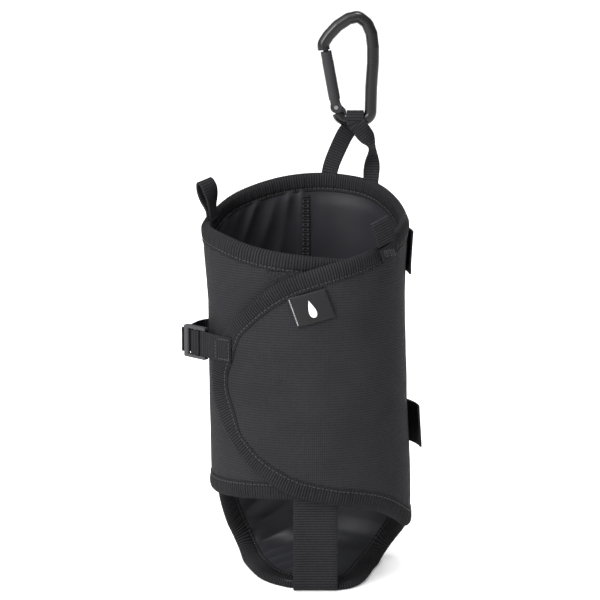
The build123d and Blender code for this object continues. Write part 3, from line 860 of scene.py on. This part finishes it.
def make_bands():
    """Two bands behind the right side, as (angle round the sleeve, distance from its wall)."""
    loose = [(202, 1.5), (197, 2.4), (190, 4.6), (183, 5.8), (174, 6.1), (166, 6.2), (158, 6.2)]
    runs = {
        "upper": (187.5, (101, 118), loose + [(150, 6.1), (142, 5.7), (134, 4.7), (127, 3.5), (120, 2.9),
                                              (113, 2.85), (106, 2.85), (100, 2.85), (95, 2.9), (91, 3.0)]),
        "lower": (85.0, (124, 140), loose + [(152, 5.2), (147, 3.9), (141, 2.95), (135, 2.85),
                                             (129, 2.85), (123, 2.95), (117, 3.9), (111, 5), (105, 6),
                                             (99, 6.7), (95, 6.9)]),
    }
    sewn = [(202, 1.5), (204, 0.75), (207, 0.75), (210, 0.75), (213, 0.75)]
    for name, (z, patch, run) in runs.items():
        closure = f"{name}_closure"
        bend = ("sleeve", closure, (*on_wall(202, 1.5), z), (*on_wall(192, 4), z))
        stations = [((*on_wall(deg, out), z), UP) for deg, out in run]
        ribbon_piece(f"{name}_band_web", stations, WEB, WEB_THICK, None, [f"{name}_band"], bend)
        stations = [((*on_wall(deg, out), z), UP) for deg, out in sewn]
        ribbon_piece(f"{name}_anchor_web", stations, WEB, WEB_THICK, "sleeve", [f"{name}_band_anchor"])
        for kind, near, far, body in (("loop", 0.08, 1.05, "sleeve"), ("hook", 1.1, 2.02, closure)):
            stations = [((*on_wall(deg, (near + far) / 2), z), UP) for deg in np.linspace(*patch, 6)]
            pile_piece(f"{name}_{kind}_pile", stations, WEB - 2, far - near, body, f"{name}_{kind}_patch")


def make_closure_patches():
    for name, wall, deg0, deg1, z0, z1, out, body in (
            ("wing_loop_patch", wing_wall, -24, -2, 154, 185, 0.5, "sleeve"),
            ("flap_hook_patch", flap_wall, -21, -3, 154, 166, -WALL + 0.25, "flap")):
        s = np.interp(np.linspace(deg0, deg1, 8), wall.deg, wall.s)
        stations = [(wall.at(v, (z0 + z1) / 2, out), UP) for v in s]
        pile_piece(f"{name}_pile", stations, z1 - z0, 0.9, body, name)


def make_seam_tape():
    """Bound seam inside the back, on the liner."""
    low, high, stitch_x = 67, 213, 1.5
    s = float(np.interp(182.6, back_wall.deg, back_wall.s))
    stations = [(back_wall.at(s + 0.3 * np.sin(z / 17), z, -WALL - 0.55), ACROSS)
                for z in np.linspace(low, high, 12)]
    data = webbing(stations, 4.6, 0.9, 0.14, 1.5)
    finish_piece(merged("seam_tape_web", [data]), "binding", "sleeve", "binding", ["seam_tape"])
    rows = []
    for off in (-stitch_x, stitch_x):
        pts = np.array([back_wall.at(s + off, z, -WALL - 1.0) for z in np.linspace(low + 1, high - 1, 60)])
        nrm = -back_wall.normal(np.full(60, s + off))
        rows += stitch_row(pts, nrm, pitch=2.8)
    finish_piece(merged("seam_stitches", rows), "thread", "sleeve", "binding")


def make_left_loop():
    """Loop that stands up from the left of the rim, as (height, half its opening); it turns as it rises."""
    base = np.array([*on_wall(-104, -HALF), 210.9])
    up = unit(np.array([-0.324, -0.03, 0.946]))
    flat, turned = np.array([0.278, 0.961, 0.27]), np.array([0.75, 0.61, 0.22])
    half = [(-7, -0.72), (-3, -0.74), (0.0, -0.8), (3, -1.3), (6, -2.1), (9, -2.6), (12, -2.7),
            (14.5, -2.3), (16.6, -1.1)]
    stations = []
    for a, r in half + [(17.1, 0)] + [(a, -r) for a, r in half[::-1]]:
        share = min(1.0, max(0.0, a / 13.0))
        across = unit(flat * (1 - share) + turned * share)
        stations.append((base + up * a + unit(np.cross(up, across)) * r, across))
    ribbon_piece("left_loop_web", stations, 10.0, 1.3, None, ["left_utility_loop"],
                 ("sleeve", "left_loop", tuple(base), tuple(base + up * 3.5)))


def make_right_loop():
    """Loop at the right of the rim: its sewn tails with a bar tack, and the loop that stands on them."""
    low, rim = np.array([47.4, -31.9, 191.6]), np.array([44.9, -34.6, 199.0])
    across = unit(np.array([0.74, 0.67, 0.0]))
    out = unit(np.cross(across, rim - low))
    stations = [(low + (rim - low) * f, across) for f in (0, 0.33, 0.66, 1.0)]
    ribbon_piece("right_loop_tails_web", stations, 12.4, 2.0, "flap", ["right_loop_tails"])
    rows = []
    for f in np.linspace(0.15, 0.55, 4):
        middle = low + (rim - low) * f + out * 1.05
        pts = np.array([middle + across * k for k in np.linspace(-5, 5, 12)])
        rows += stitch_row(pts, np.tile(out, (12, 1)), pitch=1.5, gap=0.3, radius=0.26, zig=0.5)
    finish_piece(merged("right_loop_bartack", rows), "thread", "flap", "webbing")
    up, across = unit(np.array([-0.36, -0.05, 0.93])), unit(np.array([0.80, 0.38, 0.33]))
    m = unit(np.cross(across, up))
    half = [(0.0, -0.62), (4, -0.9), (8, -1.05), (11.5, -1.05), (13.6, -0.7)]
    start = rim + up * 0.5
    stations = [(start + up * a + m * b, across)
                for a, b in half + [(14.2, 0)] + [(a, -b) for a, b in half[::-1]]]
    ribbon_piece("right_loop_web", stations, 12.0, 0.95, None, ["right_utility_loop"],
                 ("flap", "right_loop", tuple(start), tuple(start + up * 3.0)))


def make_label():
    """Label tab on the flap's face, curling away at its lower edge, with a drop and a thin line."""
    low_left, low_right = np.array([-7.2, 155.6]), np.array([14.0, 161.8])
    top_left, top_right = np.array([-12.8, 171.8]), np.array([8.0, 177.4])

    def curl(b):
        """Distance off the flap at height b of the label, 0 at its lower edge."""
        return 1.0 + 0.35 * (1 - b) ** 2

    def on_label(a, b, lift):
        """Point at (a, b) of the label, each 0 to 1, lift off its face."""
        low = low_left + (low_right - low_left) * a
        top = top_left + (top_right - top_left) * a
        p = low + (top - low) * b
        return flap_wall.at(float(flap_wall.s_of_x(p[0])), p[1], curl(b) + 0.35 + lift)

    us, vs = np.linspace(0, 1, 22), np.linspace(0, 1, 18)
    front, back = (np.array([[on_label(a, b, lift) for b in vs] for a in us]) for lift in (0.0, -0.6))
    u, v = np.meshgrid(us, vs, indexing="ij")
    cloth = slab("label_cloth", front, back, np.stack([u * 22, v * 17], -1))
    finish_piece(cloth, "label", "label_tab", "label", ["label"])

    drop = [(0.5 + 0.135 * math.sin(t) * math.sin(t / 2) ** 1.5, 0.47 + 0.30 * math.cos(t))
            for t in np.linspace(0, 2 * math.pi, 33)[:-1]]
    rings = [[on_label(0.5 + (a - 0.5) * k, 0.5 + (b - 0.5) * k, h) for a, b in drop]
             for k, h in ((1.0, -0.02), (1.0, 0.10), (0.92, 0.16), (0.5, 0.17))]
    mark = loft_loops(np.array(rings), np.zeros((4, 32, 2)))
    across = on_label(0.1, 0.5, 0) - on_label(0.0, 0.5, 0)
    line = webbing([(on_label(0.045, b, 0.02), across) for b in np.linspace(0.06, 0.94, 40)], 0.55, 0.2)
    finish_piece(merged("label_mark", [mark, line]), "mark", "label_tab", "label")


# The ladder lock: middle of the bar that the tab wraps, the way its strap runs, and the way it faces
LOCK_TURN = math.radians(43.0)
BAR = np.array([-59.4, -20.2, 139.6])
AWAY = np.array([-math.cos(LOCK_TURN), math.sin(LOCK_TURN), 0])
FRONT = np.array([-math.sin(LOCK_TURN), -math.cos(LOCK_TURN), 0])
BAR_TURN = 1.3 + 0.15 + 0.6     # the bar's radius, a gap and half the webbing


def make_buckle_tab():
    """Tab sewn to the flap's left side with a box of stitches; it wraps the ladder lock's bar."""
    wrap = [(BAR + AWAY * BAR_TURN * math.sin(math.radians(k))
             + FRONT * BAR_TURN * math.cos(math.radians(k)), UP) for k in range(-20, 185, 20)]
    sewn = [((*on_wall(deg, TAPE + 0.75, FLAP_A), BAR[2]), UP) for deg in (-43, -47, -51, -55, -58)]
    ribbon_piece("buckle_tab_web", sewn + wrap, 14.5, 1.15, "flap", ["buckle_tab"], rib=0.12, pitch=1.2)
    deg0, deg1, tall = -44.0, -53.5, 5.6
    sides = [[(deg, dz) for deg in np.linspace(deg0, deg1, 24)] for dz in (-tall, tall)]
    sides += [[(deg, dz) for dz in np.linspace(-tall, tall, 12)] for deg in (deg0, deg1)]
    rows = []
    for side in sides:
        pts = np.array([[*on_wall(deg, TAPE + 1.45, FLAP_A), BAR[2] + dz] for deg, dz in side])
        nrm = np.array([flap_side(deg) for deg, _ in side])
        rows += stitch_row(pts, nrm, pitch=2.0, gap=0.5, radius=0.28)
    finish_piece(merged("buckle_tab_stitches", rows), "thread", "flap", "webbing")


def make_adjuster():
    """Strap from the back's left side to the ladder lock, and its tail, threaded round the lock's bars."""
    z = BAR[2]
    run = [(15.8, -3.1), (12, -3.1), (6.4, -3.05), (4.3, -2.5), (3.45, -1.2), (3.45, 0.5), (4.5, 1.75),
           (6.6, 2.05), (8.7, 1.75), (9.75, 0.5), (9.75, -0.9), (11, -1.9), (13.2, -1.95), (15.6, -1.9),
           (17.1, -1.3), (17.6, 0.6)]
    ribbon_piece("adjuster_tail_web", [(BAR + AWAY * a + FRONT * b, UP) for a, b in run], ADJUSTER,
                 ADJUSTER_THICK, "buckle", ["adjuster_tail"], pitch=1.2)
    start = BAR + AWAY * 16.3 - FRONT * 3.1
    side = [tuple(start), (-67.6, -0.6, z), (-65.2, 5.4, z), (-62.0, 11.0, z)]
    side += [(*on_wall(deg, 0.65), z) for deg in (-109, -114, -119, -124)]
    ribbon_piece("adjuster_strap_web", [(p, UP) for p in side], ADJUSTER, ADJUSTER_THICK, None,
                 ["adjuster_strap"], ("sleeve", "flap", (-61.5, 12, z), (-67.4, -1.5, z)), pitch=1.2)


def make_hang_loop():
    """Loop from two places on the back's rim, twisted, over the clip's lower end."""
    turn = 3.5 + 0.5 + 0.7      # the clip's rod, a gap and half the webbing
    rim = (0.919, -0.394, -0.09)
    stations = [((11.2, 46.0, 219.5), rim), ((11.8, 46.8, 227.0), rim),
                ((13.6, 47.6, 233.0), (0.95, -0.3, -0.1)), ((18.0, 49.2, 243.0), (0.97, -0.1, -0.15)),
                ((22.6, 49.9, 251.0), (0.99, 0, -0.1))]
    for k in range(100, -101, -20):
        t = math.radians(k)
        stations.append(((26.15, 45 + turn * math.sin(t), 257.3 + turn * math.cos(t)), ACROSS))
    stations += [((27.6, 40.1, 254.6), (0.97, -0.05, 0.25)), ((30.4, 39.5, 251.0), (0.80, 0.10, 0.55)),
                 ((33.8, 39.2, 246.8), (0.62, 0.62, 0.40)), ((36.2, 38.8, 242.2), (0.35, 0.94, 0.0)),
                 ((36.8, 38.0, 236.2), (0.60, 0.60, 0.0)), ((36.8, 37.0, 230.0), (0.90, 0.10, -0.05)),
                 ((36.6, 36.1, 224.4), rim), ((36.4, 35.6, 218.5), rim)]
    ribbon_piece("hang_loop_web", stations, 10.0, 1.35, None, ["hang_loop"],
                 ("sleeve", "hang_strap", (24.2, 41.45, 224.0), (24.2, 41.45, 231.0)))


def dress_hard_parts():
    for name, material in (("carabiner_frame", "clip"), ("carabiner_gate", "gate"), ("gate_pin", "pin"),
                           ("gate_spring", "pin"), ("ladder_lock", "buckle")):
        obj = nodes[name]
        obj.data.materials.clear()
        obj.data.materials.append(MATERIALS[material])
        {"gate": "clip"}.get(material, material)
        obj.data.polygons.foreach_set("use_smooth", [True] * len(obj.data.polygons))


make_panels()
bind_panels()
make_foot()
make_foot_strap()
make_bands()
make_closure_patches()
make_seam_tape()
make_left_loop()
make_right_loop()
make_label()
make_buckle_tab()
make_adjuster()
make_hang_loop()
dress_hard_parts()


# ---------------------------------------------------------------- stage, light, camera

def put_light(name, kind, place, direction, power):
    data = bpy.data.lights.new(name, kind)
    data.energy = power
    obj = bpy.data.objects.new(name, data)
    obj.location = place
    obj.rotation_euler = direction.to_track_quat("-Z", "Y").to_euler()
    bpy.context.scene.collection.objects.link(obj)
    return data


def area_light(name, place, target, size, power):
    data = put_light(name, "AREA", place, Vector(target) - Vector(place), power)
    data.shape = "RECTANGLE"
    data.size, data.size_y = size


def make_floor():
    far = 9000
    corners = [(-far, -far, 0), (far, -far, 0), (far, far, 0), (-far, far, 0)]
    floor = as_mesh("floor", corners, [(0, 1, 2, 3)])
    mat, _, bsdf = tree("pale_floor")
    set_inputs(bsdf, Base_Color=(0.92, 0.92, 0.92, 1), Roughness=0.7, Emission_Color=(1, 1, 1, 1),
               Emission_Strength=0.18)
    floor.data.materials.append(mat)


def make_sky():
    """White surroundings, brighter towards the upper left front."""
    world = bpy.data.worlds.new("studio")
    bpy.context.scene.world = world
    world.use_nodes = True
    nt = world.node_tree
    sky = nt.nodes["Background"]
    sky.inputs[0].default_value = (1, 1, 1, 1)
    towards = nt.nodes.new("ShaderNodeVectorMath")
    towards.operation = "DOT_PRODUCT"
    towards.inputs[1].default_value = (-0.68, -0.58, 0.45)
    nt.links.new(nt.nodes.new("ShaderNodeTexCoord").outputs["Generated"], towards.inputs[0])
    span = nt.nodes.new("ShaderNodeMapRange")
    set_inputs(span, From_Min=-0.6, From_Max=0.7, To_Min=0.20, To_Max=0.9)
    nt.links.new(towards.outputs["Value"], span.inputs["Value"])
    nt.links.new(span.outputs[0], sky.inputs[1])


def make_lights():
    area_light("key", (-1.0, -1.05, 0.8), (0, 0, 0.15), (0.5, 0.9), 15)
    area_light("top", (0.15, -0.15, 1.5), (0, 0, 0.2), (0.5, 0.5), 12)
    area_light("back", (0.7, 1.3, 0.9), (0, 0, 0.15), (0.8, 0.8), 12)
    sun = put_light("soft_sun", "SUN", (0, 0, 0), Vector((0.95, 0.85, -1.0)), 2.3)
    sun.angle = math.radians(60)
    bpy.context.scene.view_settings.view_transform = "Standard"


def make_camera():
    target = Vector((-0.0057, 0, 0.16031))
    el = math.radians(12)
    back = Vector((0, -math.cos(el), math.sin(el)))
    data = bpy.data.cameras.new("camera")
    data.lens, data.sensor_width = 148, 36
    cam = bpy.data.objects.new("camera", data)
    cam.location = target + back * 1.4
    cam.rotation_euler = (-back).to_track_quat("-Z", "Y").to_euler()
    bpy.context.scene.collection.objects.link(cam)
    bpy.context.scene.camera = cam


make_floor()
make_sky()
make_lights()
make_camera()
